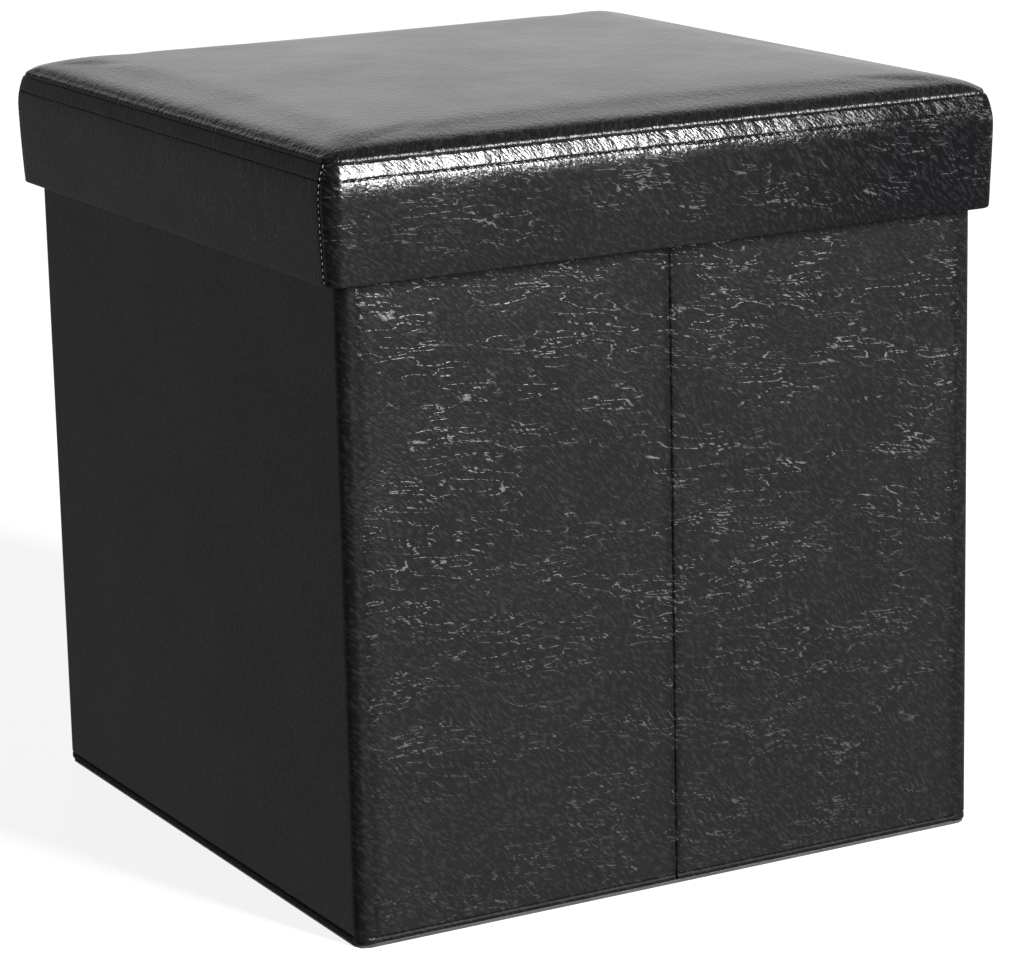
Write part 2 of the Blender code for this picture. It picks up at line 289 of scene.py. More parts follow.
def leather(name, flow_turn, grain_turn, crease=1.0, crease_range=(0.02, 0.26, 0.35),
            roughness=0.22, grain=1.0, gather=0.0, painted_shade_axis=None, pucker=0.0, gloss=0.42):
    """Black faux leather: fine slanting grain, and broken crease lines that flow across it.

    The creases thin out towards the first height of crease_range, down to its last value."""
    made = Finish(name, (0.010, 0.010, 0.011), roughness, {GLOSS: gloss})
    spot = made.add("SeparateXYZ", {0: made.place}).outputs
    if painted_shade_axis:
        # Painted shade: less shine at the corners, beside the middle seam and under the lid, where shade
        # falls
        across = made.math("ABSOLUTE", spot[painted_shade_axis])
        corner = made.ranged(across, 0.1640, 0.1735, 1.0, 0.30)
        seam = made.ranged(across, 0.0, 0.0065, 0.50, 1.0)
        painted_lid_shadow = made.ranged(spot["Z"], SKIRT_LOW - 0.008, SKIRT_LOW + 0.001, 1.0, 0.25)
        made.link(made.times(corner, seam, painted_lid_shadow, gloss), GLOSS)
    # A slow sway, so that no line runs quite straight
    wander = made.noise((14, 14, 20), detail=1.0)
    sway = made.add("CombineXYZ", {"Z": made.times(wander, 0.020)}).outputs[0]
    swayed = made.add("VectorMath", {0: made.place, 1: sway}, operation="ADD").outputs[0]
    # Slanting grain, in short strokes
    strokes = made.noise((260, 260, 720), grain_turn, swayed, rough=0.55, bend=0.3)
    pebble = made.cells((520, 520, 760), grain_turn, swayed)
    height = made.math("ADD", strokes, made.times(pebble, 0.20))
    if crease:
        # Crease lines, broken where the grain crosses them
        folds = made.noise((42, 42, 250), flow_turn, swayed, detail=1.2, rough=0.6, bend=0.25)
        near = made.math("ABSOLUTE", made.math("SUBTRACT", folds, 0.5))
        line = made.ranged(near, 0.0, 0.022, 1.0, 0.0)
        dashes = made.ranged(strokes, 0.44, 0.57)
        patches = made.ranged(made.noise((26, 26, 60), shift=(3, 7, 1)), 0.38, 0.60)
        dense = made.ranged(spot["Z"], *crease_range, 1.0)
        crease_line = made.times(line, dashes, patches, dense)
        height = made.math("ADD", height, made.times(crease_line, 0.15 * crease))
        # Painted highlights: the crease lines and the raised grain strokes get a lighter base colour for the
        # light their ridges catch, and on the strokes partly for rubbed wear too
        rubbed_wear_and_glint_tone = made.times(made.ranged(strokes, 0.46, 0.70), 0.042)
        lighter = made.math("MAXIMUM", rubbed_wear_and_glint_tone, made.times(crease_line, 0.60 * crease))
        tone = made.mix(lighter, (0.004, 0.004, 0.0045), (0.19, 0.19, 0.20))
    else:
        tone = made.mix(made.ranged(strokes, 0.45, 0.70), (0.005, 0.005, 0.0055), (0.013, 0.013, 0.014))
    made.link(tone, "Base Color")
    normal = made.bump(height, GRAIN_DEPTH * grain)
    if pucker:
        # Painted fade of the highlight: less shine towards the right end; and puckered below the topstitch
        made.link(made.ranged(spot["X"], -0.02, 0.160, gloss, 0.14 * gloss), GLOSS)
        puckers = made.noise((210, 210, 300), shift=(5, 2, 8), detail=1.5, bend=0.5)
        held = made.ranged(spot["Z"], STITCH_HEIGHT - 0.014, STITCH_HEIGHT)
        along = made.ranged(spot["X"], -0.18, 0.16, 0.12, 0.60)
        normal = made.bump(made.times(puckers, held, along), GATHER_DEPTH * pucker, normal)
    if gather:
        wrinkles = made.noise((420, 420, 60), detail=1.5, bend=0.4)
        close = made.ranged(spot["Z"], LID_SEAM + 0.0005, LID_SEAM + 0.006, 1.0, 0.0)
        normal = made.bump(made.times(wrinkles, close), GATHER_DEPTH * gather, normal)
    made.link(normal, "Normal")
    sheen = made.noise((24, 24, 24))
    made.link(made.ranged(sheen, 0.3, 0.7, roughness - 0.01, roughness + 0.02), "Roughness")
    return made.material


def nonwoven():
    """Matt black non-woven cloth: pressed fibres with a fine field of dimples."""
    made = Finish("pressed nonwoven cloth", (0.020, 0.020, 0.022), 0.9,
                  {"Sheen Weight": 0.25, "Sheen Roughness": 0.6})
    fibres = made.noise((900, 900, 900), detail=4.0, rough=0.7, bend=1.5)
    pressed = made.ranged(made.cells((480, 480, 480)), 0.15, 0.5)
    made.link(made.bump(made.math("ADD", fibres, pressed), 0.00018), "Normal")
    cloudy = made.ranged(made.times(fibres, made.noise((30, 30, 30), detail=3.0)), 0.12, 0.45)
    made.link(made.mix(cloudy, (0.013, 0.013, 0.014), (0.040, 0.040, 0.043)), "Base Color")
    return made.material


def fibre_board(name, dark, light, fleck):
    """Pressed board: flecks of fibre in two tones over a faintly rough face."""
    made = Finish(name, light, 0.75)
    flecks = made.noise((fleck, fleck, fleck), detail=5.0, rough=0.7, bend=0.8)
    broad = made.noise((18, 18, 18))
    lighter = made.ranged(made.math("ADD", flecks, made.times(broad, 0.4)), 0.5, 0.9)
    made.link(made.mix(lighter, dark, light), "Base Color")
    made.link(made.bump(flecks, 0.00012), "Normal")
    made.link(made.ranged(broad, 0.3, 0.7, 0.68, 0.85), "Roughness")
    return made.material


def thread(name, colour, roughness):
    """Twisted sewing thread."""
    made = Finish(name, colour, roughness, {GLOSS: 0.08})
    inputs = {"Vector": made.stretched((1, 1, 1), (0.5, 0.6, 0.7)), "Scale": 900.0, "Distortion": 1.0}
    twist = made.add("TexWave", inputs).outputs["Fac"]
    made.link(made.bump(twist, 0.00008), "Normal")
    # Darker in the grooves of the twist: painted shade between the plies
    made.link(made.mix(twist, tuple(c * 0.6 for c in colour), colour), "Base Color")
    return made.material


FRONT = ((0.0, -0.10, 0.0), (0.0, -0.75, 0.0))       # turn of the creases and slant of the grain
SIDE = ((0.10, 0.0, 0.0), (0.75, 0.0, 0.0))
SKIRT_PLAIN = (SKIRT_LOW + 0.006, SKIRT_LOW + 0.014, 0.0)      # creases start above a plain bottom edge
front_leather = leather("front wall leather", *FRONT, painted_shade_axis="X")
side_leather = leather("side wall leather", *SIDE, crease=0.0, grain=0.6, roughness=0.40)
# The corner strips are a copy of the front leather with less shine: painted shade at the corners
strip_leather = leather("corner strip leather", *FRONT, crease=0.0, grain=0.7, gloss=0.20)
# The hems are a copy with almost no shine, so that their roll catches no highlight: painted shade along the
# bottom edge
hem_leather = leather("hem leather", *FRONT, crease=0.0, grain=0.7, roughness=0.45, gloss=0.07)
skirt_leather = leather("lid skirt leather", *FRONT, 0.65, SKIRT_PLAIN, roughness=0.19, pucker=1.0)
skirt_side_leather = leather("lid end skirt leather", *SIDE, 0.25, SKIRT_PLAIN, roughness=0.30)
top_leather = leather("lid top leather", (0.0, 0.0, 0.6), (0.9, 0.9, 0.4), crease=0.0,
                      roughness=0.30, grain=1.7, gather=1.0)
nonwoven_cloth = nonwoven()
hardboard = fibre_board("raw hardboard", (0.14, 0.085, 0.045), (0.34, 0.23, 0.14), 500)
grey_card = fibre_board("raw grey card", (0.25, 0.24, 0.22), (0.42, 0.40, 0.37), 700)
dark_thread = thread("black topstitch thread", (0.003, 0.003, 0.003), 0.6)
pale_thread = thread("grey corner thread", (0.40, 0.40, 0.41), 0.5)


# ------------------------------------ the box's walls

PANELS = {
    "left": ("left", "left_wall"),
    "right": ("right", "right_wall"),
    "front_left": ("front", "front_left_panel"),
    "front_right": ("front", "front_right_panel"),
    "back_left": ("back", "back_left_panel"),
    "back_right": ("back", "back_right_panel"),
}


def wall_wrap(inset):
    """Outline of a wall cover, at an inset: up the outside, over the board and down inside."""
    bend = max(TOP_ROUND - inset, 0.0006)
    turn_at = WALL_TOP - TOP_ROUND
    heights = steps_between(WALL_LOW, turn_at, STEP)
    outline = [(-inset, z) for z in heights[:-1]]
    outline += arc((-TOP_ROUND, turn_at), bend, 0, 90, 6)
    outline += arc((-WALL_DEEP + TOP_ROUND, turn_at), bend, 90, 180, 6)
    outline += [(-WALL_DEEP + inset, z) for z in steps_between(turn_at, LIP_LOW, 0.003)[1:]]
    return np.array(outline), len(heights) - 1


def wall_relief(panel, along, height, ends):
    """How far the leather stands out or in over the board, in metres."""
    side = PANELS[panel][0]
    seed = 10 + sorted(PANELS).index(panel)
    strength = 1.0 if side in FOLDING else 0.35
    soft = 0.00008 * waves(along, height, 0.085, seed)
    ripple_share = fade(height, 0.08, 0.30)
    ripples = 0.000018 * waves(along * 0.30, height, 0.0085, seed + 20) * (0.35 + 0.65 * ripple_share)
    edge = np.minimum(along - ends[0], ends[1] - along)
    calm = fade(edge, 0.001, 0.016) * fade(height, WALL_LOW, WALL_LOW + 0.012)
    calm = calm * (1 - fade(height, WALL_TOP - 0.012, WALL_TOP - TOP_ROUND))
    return strength * calm * (soft + ripples)


def seam_dip(distance, height, seed, wide):
    """How far a cover's face falls away beside the seam between two panels."""
    turned = np.clip(SEAM_ROUND - distance, 0, SEAM_ROUND)
    rounding = SEAM_ROUND - np.sqrt(np.maximum(SEAM_ROUND ** 2 - turned ** 2, 0))
    pull = 0.00022 + 0.00010 * waves(height, 0 * height, 0.012, seed)
    return 0.9 * rounding + pull * np.exp(-distance / wide)


def wall_cover(panel):
    """A wall's leather, turned over the top of its board and let into the seam if it has one."""
    side, body = PANELS[panel]
    start, end = run(side, *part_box(panel + "_cover"))
    first, last = start - END_REACH, end + END_REACH
    fine = np.array([0, 0.0001, 0.0003, 0.0006, 0.0010, 0.0016, 0.0025])      # beside a seam
    seam_at = None
    if panel.endswith("_left"):
        seam_at = end + SEAM_REACH
        along = np.concatenate([steps_between(first, end - 0.004, STEP), seam_at - fine[::-1]])
    elif panel.endswith("_right"):
        seam_at = start - SEAM_REACH
        along = np.concatenate([seam_at + fine, steps_between(start + 0.004, last, STEP)])
    else:
        along = steps_between(first, last, STEP)
    outer, straight = wall_wrap(0.0)
    inner, _ = wall_wrap(LEATHER)
    outline = np.concatenate([outer, inner[::-1]])
    offset = np.repeat(outline[None, :, 0], len(along), axis=0)
    face, over = slice(0, straight), slice(straight, len(outer))
    offset[:, face] += wall_relief(panel, along[:, None], outer[None, face, 1], (start, end))
    if seam_at is not None:
        distance = np.abs(along - seam_at)[:, None]
        wide = 0.0012 if panel.endswith("_left") else 0.0030
        offset[:, face] -= np.minimum(seam_dip(distance, outer[None, face, 1], 3, wide), 0.95 * LEATHER)
        dip = np.minimum(seam_dip(distance, 0 * outer[None, over, 1], 3, 0.0005), 0.8 * LEATHER)
        offset[:, over] += np.where(outer[None, over, 0] > -WALL_DEEP / 2, -0.5, 0.5) * dip
    piece = sweep(panel + "_leather", place(side, along[:, None], offset, outline[None, :, 1]))
    finish = front_leather if side in FOLDING else side_leather
    give(piece, finish, "black_leather", body, panel + "_cover")


def hem(panel):
    """The folded bottom edge of a wall's cover: a soft roll."""
    side, body = PANELS[panel]
    start, end = run(side, *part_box(panel + "_hem"))
    along = steps_between(start - END_REACH, end + END_REACH, 0.004)
    middle, tall = (HEM_LOW + HEM_TOP) / 2, (HEM_TOP - HEM_LOW) / 2
    roll = arc((-tall, middle), tall, 90, -90, 10)
    roll_in = arc((-WALL_DEEP + tall, middle), tall, 90, 270, 10)
    outline = np.array(roll + roll_in[::-1])
    sag = 0.00012 * waves(along, 0 * along, 0.03, 60)[:, None] * (outline[None, :, 0] > -WALL_DEEP / 2)
    offset = outline[None, :, 0] + 0.0002 + sag
    piece = sweep(panel + "_turned_hem", place(side, along[:, None], offset, outline[None, :, 1]))
    give(piece, hem_leather, "black_leather", body, panel + "_hem")
    if body != "left_wall":
        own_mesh(piece)


def corner_strip(across, along, bodies, stands_for):
    """The leather that turns an upright corner, from one wall's cover to the next."""
    wall_end = along * (WALL_END + END_REACH)
    panel_end = across * (PANEL_END + END_REACH)
    straight = RING - CORNER_ROUND
    curve = [(across * x, along * y) for x, y in arc((straight, straight), CORNER_ROUND, 0, 90, 12)]
    outer = [(across * RING, wall_end)] + curve + [(panel_end, along * RING)]
    inside = RING - 0.0035
    inner = [(across * inside * (1 - s) + panel_end * s, wall_end * (1 - s) + along * inside * s)
             for s in (0.0, *np.linspace(0.05, 0.95, len(curve)), 1.0)]
    outline = np.array(outer + inner[::-1])
    quarter = np.radians(np.linspace(0, 90, 6))
    heights = np.concatenate([
        [HEM_LOW, HEM_LOW + 0.0003, HEM_LOW + 0.001, HEM_TOP - 0.0006, HEM_TOP, WALL_LOW, WALL_LOW + 0.0006],
        steps_between(WALL_LOW + 0.004, WALL_TOP - 0.004, 0.004),
        WALL_TOP - TOP_ROUND * (1 - np.sin(quarter)),
    ])
    tight = np.zeros(len(heights))               # how much closer in the outside is at each height
    tight[:2] = (0.0007, 0.0003)
    tight[3:6] = (0.0001, 0.0004, 0.0003)
    tight[-6:] = TOP_ROUND * (1 - np.cos(quarter)) * 0.7
    middle = np.array([panel_end, wall_end])
    reach = np.linalg.norm(outline - middle, axis=1)
    share = 1 - tight[:, None] / np.maximum(reach, 0.004)
    share[:, len(outer):] = 1.0
    loops = np.zeros((*share.shape, 3))
    loops[:, :, :2] = middle + (outline - middle) * share[:, :, None]
    loops[:, :, 2] = heights[:, None]
    piece = sweep(stands_for + "_leather", loops, 60)
    give(piece, strip_leather, "black_leather", None, stands_for)
    if len(bodies) == 1:
        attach(piece, bodies[0])
    else:
        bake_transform(piece)


def seam_strip(side, stands_for):
    """The sewn leather at the bottom of the valley between two folding panels."""
    low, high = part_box(stands_for)
    half = high.x + 0.0003
    outline = [(-half, -0.0008), (-half / 2, -0.0012), (0, -0.0010), (half / 2, -0.0012), (half, -0.0008)]
    inner = [(x, -WALL_DEEP + 0.0002) for x in np.linspace(half, -half, 5)]
    outline = np.array(outline + inner)
    heights = steps_between(low.z, high.z - 0.0006, 0.002)
    pucker = 0.00018 * waves(heights, 0 * heights, 0.007, 9)[:, None] * (outline[None, :, 1] > -0.002)
    loops = place(side, outline[None, :, 0], outline[None, :, 1] + pucker, heights[:, None])
    piece = sweep(stands_for + "_strip", loops, 60)
    give(piece, strip_leather, "black_leather", None, stands_for)
    if side == "front":
        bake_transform(piece)
    else:                                       # the back folds the other way round
        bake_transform(piece)


def cloth_panel(name, side, low, high, body, stands_for):
    """A flat sheet of non-woven cloth glued to a board, with a faintly uneven face."""
    start, end = run(side, low, high)
    deep = sorted(abs(v) - RING for v in ((low.y, high.y) if SIDES[side][0] == "y" else (low.x, high.x)))
    along = steps_between(start, end, 0.005)
    heights = steps_between(low.z, high.z, 0.005)
    outline = np.array([(deep[0], z) for z in heights] + [(deep[1], z) for z in heights[::-1]])
    offset = np.repeat(outline[None, :, 0], len(along), axis=0)
    edge = np.minimum(along - start, end - along)[:, None]
    calm = fade(edge, 0, 0.01) * fade(np.minimum(heights - heights[0], heights[-1] - heights), 0, 0.01)
    uneven = waves(along[:, None], heights[None, :], 0.03, 30 + len(name))
    offset[:, :len(heights)] += 0.00018 * uneven * calm
    piece = sweep(name, place(side, along[:, None], offset, outline[None, :, 1]))
    give(piece, nonwoven_cloth, "black_nonwoven", body, stands_for)
    return piece, float(end - start), float(high.z - low.z)


for panel, (side, body) in PANELS.items():
    wall_cover(panel)
    hem(panel)
    lining, wide, tall = cloth_panel(
        panel + "_inside_cloth", side, *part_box(panel + "_lining"), body, panel + "_lining")

corner_strip(-1, -1, ("left_wall", "front_left_panel"), "corner_front_left")
corner_strip(-1, 1, ("left_wall", "back_left_panel"), "corner_back_left")
corner_strip(1, -1, ("right_wall", "front_right_panel"), "corner_front_right")
corner_strip(1, 1, ("right_wall",), "corner_back_right")
seam_strip("front", "front_seam")
seam_strip("back", "back_seam")


# ------------------------------------ the box's floor

def laid_cloth(name, low, high, edge_round, seed, underside):
    """A square of cloth lying flat, with a softly rounded edge and a faintly uneven face."""
    turn = np.radians(np.linspace(0, 90, 5))
    inset = np.array([0.0, *(edge_round * (1 - np.cos(turn)))])
    drop = np.array([high.z - low.z, *(edge_round * (1 - np.sin(turn)))])

    def line(start, end):
        inside = steps_between(start, end, 0.006)[1:-1]
        return np.concatenate([start + inset, inside, (end - inset)[::-1]])

    x_line, y_line = line(low.x, high.x), line(low.y, high.y)
    fall = np.concatenate([drop, np.zeros(len(x_line) - 2 * len(drop)), drop[::-1]])
    fall = np.maximum(fall[:, None], fall[None, :])
    x, y = np.meshgrid(x_line, y_line, indexing="ij")
    calm = fade(np.minimum(np.minimum(x - low.x, high.x - x), np.minimum(y - low.y, high.y - y)), 0.001, 0.02)
    z = high.z - fall + 0.00020 * waves(x, y, 0.05, seed) * calm
    past_x = np.abs(x) - (high.x - CORNER_ROUND)
    past_y = np.abs(y) - (high.y - CORNER_ROUND)
    corner = (past_x > 0) & (past_y > 0)
    pull = np.where(corner, np.maximum(past_x, past_y) / np.maximum(np.hypot(past_x, past_y), 1e-9), 1.0)
    x = np.where(corner, np.sign(x) * (high.x - CORNER_ROUND + past_x * pull), x)
    y = np.where(corner, np.sign(y) * (high.y - CORNER_ROUND + past_y * pull), y)
    rows, columns = x.shape
    index = np.arange(rows * columns).reshape(rows, columns)
    faces = np.stack([index[:-1, :-1], index[1:, :-1], index[1:, 1:], index[:-1, 1:]], axis=-1)
    faces = faces.reshape(-1, 4).tolist()
    points = np.stack([x, y, z], axis=-1).reshape(-1, 3)
    if underside:
        rim = [*index[:, 0], *index[-1, 1:], *index[-2::-1, -1], *index[0, -2:0:-1]]
        faces.append([int(i) for i in rim[::-1]])
    return finish_mesh(make_object(name, points, faces))


def box_floor():
    low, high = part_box("floor_cloth")
    piece = laid_cloth("floor_sheet", low, high, 0.0005, 71, True)
    give(piece, nonwoven_cloth, "black_nonwoven", "left_wall", "floor_cloth")
    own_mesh(piece)
    low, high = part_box("base_wrap")
    wrap = laid_cloth("base_board_cloth", low, high, 0.0016, 72, False)
    thick = wrap.modifiers.new("cloth thickness", "SOLIDIFY")
    thick.thickness = 0.0004
    thick.offset = -1.0
    give(wrap, nonwoven_cloth, "black_nonwoven", "base_board", "base_wrap")


box_floor()


# ------------------------------------ the lid's skirt

SKIRT_BEND = 0.0014           # outside radius of the skirt's bottom edge
# How far the skirt's face stands out, by height: a straight flare, then one long curve in to the seam
SKIRT_FACE = [
    (SKIRT_LOW + 0.0009, 0.0081), (0.3340, 0.0085), (0.3450, 0.0091), (0.3560, 0.0096), (0.3660, 0.0099),
    (0.3705, 0.0100), (0.3730, 0.0099), (0.3750, 0.00965), (0.3770, 0.0093), (0.3790, 0.00885),
    (0.3815, 0.0081), (0.3840, 0.0072), (0.3852, 0.00665), (LID_SEAM, 0.0062),
]


def skirt_face(height):
    """Offset of the skirt's face at a height, without its sewn detail."""
    heights, offsets = zip(*SKIRT_FACE)
    spread = np.linspace(heights[0], heights[-1], 80)
    line = np.interp(spread, heights, offsets)
    padded_line = np.pad(line, 4, mode="reflect", reflect_type="odd")
    smooth = np.convolve(padded_line, np.ones(9) / 9, mode="valid")
    return np.interp(height, spread, smooth)


def skirt_outline(inset):
    """Outline of the skirt's leather: turned under the board, then up its face to the seam."""
    under = [(SKIRT_LINING_IN + reach, SKIRT_LOW + inset) for reach in (0.0002, 0.0025)]
    bend = max(SKIRT_BEND - inset, 0.0003)
    curve = arc((SKIRT_FACE[0][1] - SKIRT_BEND, SKIRT_LOW + SKIRT_BEND), bend, -90, 0, 6)
    heights = np.concatenate([
        steps_between(SKIRT_LOW + 0.0020, 0.3760, 0.0015),
        [0.3768, 0.3773, 0.3776, 0.3779, 0.3781, 0.3783, 0.3786, 0.3789, 0.3795],
        steps_between(0.3805, LID_SEAM - 0.0012, 0.0010),
        LID_SEAM - np.array([0.0008, 0.0004, 0.0002, 0.0]),
    ])
    rise = [(float(skirt_face(z)) - inset, z) for z in heights]
    return np.array(under + curve + rise), len(under) + len(curve)


def skirt_stations(side):
    """(place on the ring's outside line, outward direction, distance along) round one skirt."""
    wide = side in FOLDING
    wrap = CORNER_WRAP if wide else 90.0 - CORNER_WRAP
    arc_long = SKIRT_CORNER * math.radians(wrap)
    fine = (0.6, 1.6, 3.2) if wide else (0.8, 2.0)      # closer together beside the corner's seam
    even = [wrap * (1 - s) for s in np.linspace(0, 1, 14 if wide else 4)]
    bends = sorted({*even, *(wrap - f for f in fine)}, reverse=True)
    stations = [(-RING, -degrees, -RING - arc_long * degrees / wrap) for degrees in bends]
    stations += [(along, 0.0, along) for along in steps_between(-RING, RING, STEP)[1:-1]]
    stations += [(RING, degrees, RING + arc_long * degrees / wrap) for degrees in bends[::-1]]
    return stations, RING + arc_long


def skirt_relief(side, along, height, end):
    """Soft waves, small puckers that hang from the topstitch, and the groove under the thread."""
    seed = {"front": 81, "back": 82, "left": 83, "right": 84}[side]
    strength = 1.0 if side in FOLDING else 0.6
    soft = 0.00016 * waves(along, height, 0.05, seed)
    below = np.clip(STITCH_HEIGHT - height, 0, 1)
    hang = np.exp(-below / 0.006) * fade(below, 0.0, 0.0015)
    patches = fade(waves(along, 0 * height, 0.09, seed + 5), -0.9, 0.7)
    puckers = 0.00016 * waves(along, height * 0.35, 0.010, seed + 10) * hang * patches
    above = fade(height, STITCH_HEIGHT, STITCH_HEIGHT + 0.002)
    gathers = 0.00009 * waves(along + 0.4 * height, height * 0.25, 0.006, seed + 15) * above
    groove = -0.00030 * np.exp(-((height - STITCH_HEIGHT) / 0.00055) ** 2)
    plain = fade(height, SKIRT_LOW + 0.003, SKIRT_LOW + 0.012)
    calm = fade(end - np.abs(along), 0.0, 0.008)
    return strength * calm * plain * (soft + puckers + gathers) + groove


def skirt_points(side, stations, offset, height):
    """Points round the skirt: a place on the ring's outside line, and an offset square to it."""
    axis, sign = SIDES[side]
    loops = np.zeros((*offset.shape, 3))
    for i, (along, degrees, _) in enumerate(stations):
        lean = math.radians(degrees)
        out, sideways = sign * (RING + offset[i] * math.cos(lean)), along + offset[i] * math.sin(lean)
        across = (sideways, out) if axis == "y" else (out, sideways)
        loops[i] = np.stack([*across, height[i]], axis=-1)
    return loops


def skirt_cover(side):
    """One side of the skirt: its leather, and the cloth inside it."""
    stations, end = skirt_stations(side)
    outer, face_start = skirt_outline(0.0)
    inner, _ = skirt_outline(LEATHER)
    outline = np.concatenate([outer, inner[::-1]])
    along = np.array([s[2] for s in stations])[:, None]
    offset = np.repeat(outline[None, :, 0], len(stations), axis=0)
    height = np.repeat(outline[None, :, 1], len(stations), axis=0)
    face = slice(face_start, len(outer))
    offset[:, face] += skirt_relief(side, along, outer[None, face, 1], end)
    offset[:, len(outer) - 3:len(outer)] -= (0.0002, 0.0004, 0.0007)      # tucked into the top seam
    near_seam = np.clip(end - np.abs(along), 0, 1)
    offset[:, face] -= 0.00085 * np.exp(-near_seam / 0.00045) + 0.00025 * np.exp(-near_seam / 0.0025)
    name = "skirt_" + side
    piece = sweep(name + "_leather", skirt_points(side, stations, offset, height), 55)
    finish = skirt_leather if side in FOLDING else skirt_side_leather
    give(piece, finish, "black_leather", "lid", name + "_cover")
    lining, wide, tall = cloth_panel(
        name + "_inside_cloth", side, *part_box(name + "_lining"), "lid", name + "_lining")


for side in SIDES:
    skirt_cover(side)


# ------------------------------------ the lid's padded top

PAD_SIDE = [                  # the pad's edge, from under the seam to where its top is nearly flat
    (0.0040, LID_BOARD_TOP + 0.0004), *((offset, LID_SEAM + up) for offset, up in (
        (0.0054, -0.0008), (0.0062, -0.0001), (0.0064, 0.0003), (0.0062, 0.0011), (0.0058, 0.0022),
        (0.0051, 0.0035), (0.0039, 0.0049), (0.0022, 0.0062), (-0.0002, 0.0073), (-0.0034, 0.0081),
        (-0.0078, 0.0087), (-0.0140, 0.0091))),
]
PAD_TOP = LID_SEAM + 0.0089   # the crown starts above this height
CROWN = 0.0027                # how much higher the middle is than the pad's edge
PAD_RISE_LIMIT = 0.0013       # the furthest that a point may move as the pad fills
FILL_FRAMES = 20


def ring_line(offset, height, corner_steps=6, side_steps=52):
    """A rounded square at an offset from the box's outside, at one height."""
    radius = 0.0100 - 0.15 * (LID_OUT - offset) + 0.7 * max(0.0060 - offset, 0.0)
    radius = min(radius, 0.5 * (RING + offset))
    half = RING + offset - radius
    line = []
    for quarter in range(4):
        start = math.radians(90.0 * quarter)
        cos, sin = round(math.cos(start)), round(math.sin(start))
        bend = arc((half, half), radius, 0, 90, corner_steps)
        straight = [(half * (1 - 2 * s), half + radius) for s in np.linspace(0, 1, side_steps + 1)[1:-1]]
        line += [(x * cos - y * sin, x * sin + y * cos) for x, y in bend + straight]
    return np.array([(x, y, height) for x, y in line])


def pad_shape():
    """The cut pad: a closed block with a rounded edge and a low crown."""
    rings = [ring_line(offset, height) for offset, height in PAD_SIDE]
    last_offset, last_height = PAD_SIDE[-1]
    flat_half = RING + last_offset
    for inwards in steps_between(0.006, flat_half - 0.006, 0.006):
        rings.append(ring_line(last_offset - inwards, last_height))
    count = len(rings[0])
    points = np.concatenate([*rings, [[0, 0, last_height], [0, 0, PAD_SIDE[0][1]]]])
    crown = (1 - np.minimum(points[:, :2] / flat_half, 1) ** 2).prod(axis=1)
    top = points[:, 2] > PAD_TOP
    points[top, 2] += CROWN * np.clip(crown[top], 0, 1)
    index = np.arange(len(rings) * count).reshape(-1, count)
    turned = np.roll(index, -1, axis=1)
    faces = np.stack([index[:-1], turned[:-1], turned[1:], index[1:]], axis=-1).reshape(-1, 4).tolist()
    faces += [(int(a), int(b), len(points) - 2) for a, b in zip(index[-1], turned[-1])]
    faces += [(int(b), int(a), len(points) - 1) for a, b in zip(index[0], turned[0])]
    return make_object("padded_lid_top", points, faces)


def fill_pad(piece):
    """Fills the pad with air pressure in a short cloth simulation, held at its seam."""
    start = vertex_places(piece.data)
    held = piece.vertex_groups.new(name="held")
    for vertex in piece.data.vertices:
        if vertex.co.z < LID_SEAM + 0.0024:
            held.add([vertex.index], 1.0, "REPLACE")
    cloth = piece.modifiers.new("filling", "CLOTH")
    values = {"quality": 5, "mass": 0.3, "tension_stiffness": 12, "compression_stiffness": 12,
              "bending_stiffness": 1.5, "vertex_group_mass": "held", "use_pressure": True,
              "uniform_pressure_force": 4.0}
    for name, value in values.items():
        setattr(cloth.settings, name, value)
    cloth.settings.effector_weights.gravity = 0.0
    scene = bpy.context.scene
    cloth.point_cache.frame_start, cloth.point_cache.frame_end = 1, FILL_FRAMES
    scene.frame_start, scene.frame_end = 1, FILL_FRAMES
    for number in range(1, FILL_FRAMES + 1):
        scene.frame_set(number)
    filled = vertex_places(piece.evaluated_get(bpy.context.evaluated_depsgraph_get()).data)
    piece.modifiers.clear()
    piece.vertex_groups.clear()
    scene.frame_set(1)
    move = filled - start
    far = np.linalg.norm(move, axis=1, keepdims=True)
    move *= np.minimum(1.0, PAD_RISE_LIMIT / np.maximum(far, 1e-9))
    move_vertices(piece.data, start + move)


def smooth_points(piece, rounds):
    """Evens the top of the pad, above its sewn edge."""
    made = bmesh.new()
    made.from_mesh(piece.data)
    free = [v for v in made.verts if v.co.z > LID_SEAM + 0.0060]
    axes = {"use_axis_" + axis: True for axis in "xyz"}
    for _ in range(rounds):
        bmesh.ops.smooth_vert(made, verts=free, factor=0.5, **axes)
    made.to_mesh(piece.data)
    made.free()


def shape_pad_skin(piece):
    """Soft waves over the top, and small gathers where the skin goes into the seam."""
    points = vertex_places(piece.data)
    x, y, z = points.T
    up = fade(z, LID_SEAM + 0.006, LID_SEAM + 0.0105)
    points[:, 2] += up * (0.00018 * waves(x, y, 0.13, 91) + 0.00004 * waves(x, y, 0.030, 92))
    around = np.where(np.abs(x) > np.abs(y), y, x)
    low = fade(z, LID_SEAM, LID_SEAM + 0.0015) * (1 - fade(z, LID_SEAM + 0.004, LID_SEAM + 0.010))
    gathers = 0.00012 * waves(around, 0 * z, 0.012, 93) * low
    out = points[:, :2] / np.maximum(np.abs(points[:, :2]).max(axis=1, keepdims=True), 1e-9)
    out = np.where(np.abs(out) > 0.9, out, 0)
    points[:, :2] += out * gathers[:, None]
    move_vertices(piece.data, points)


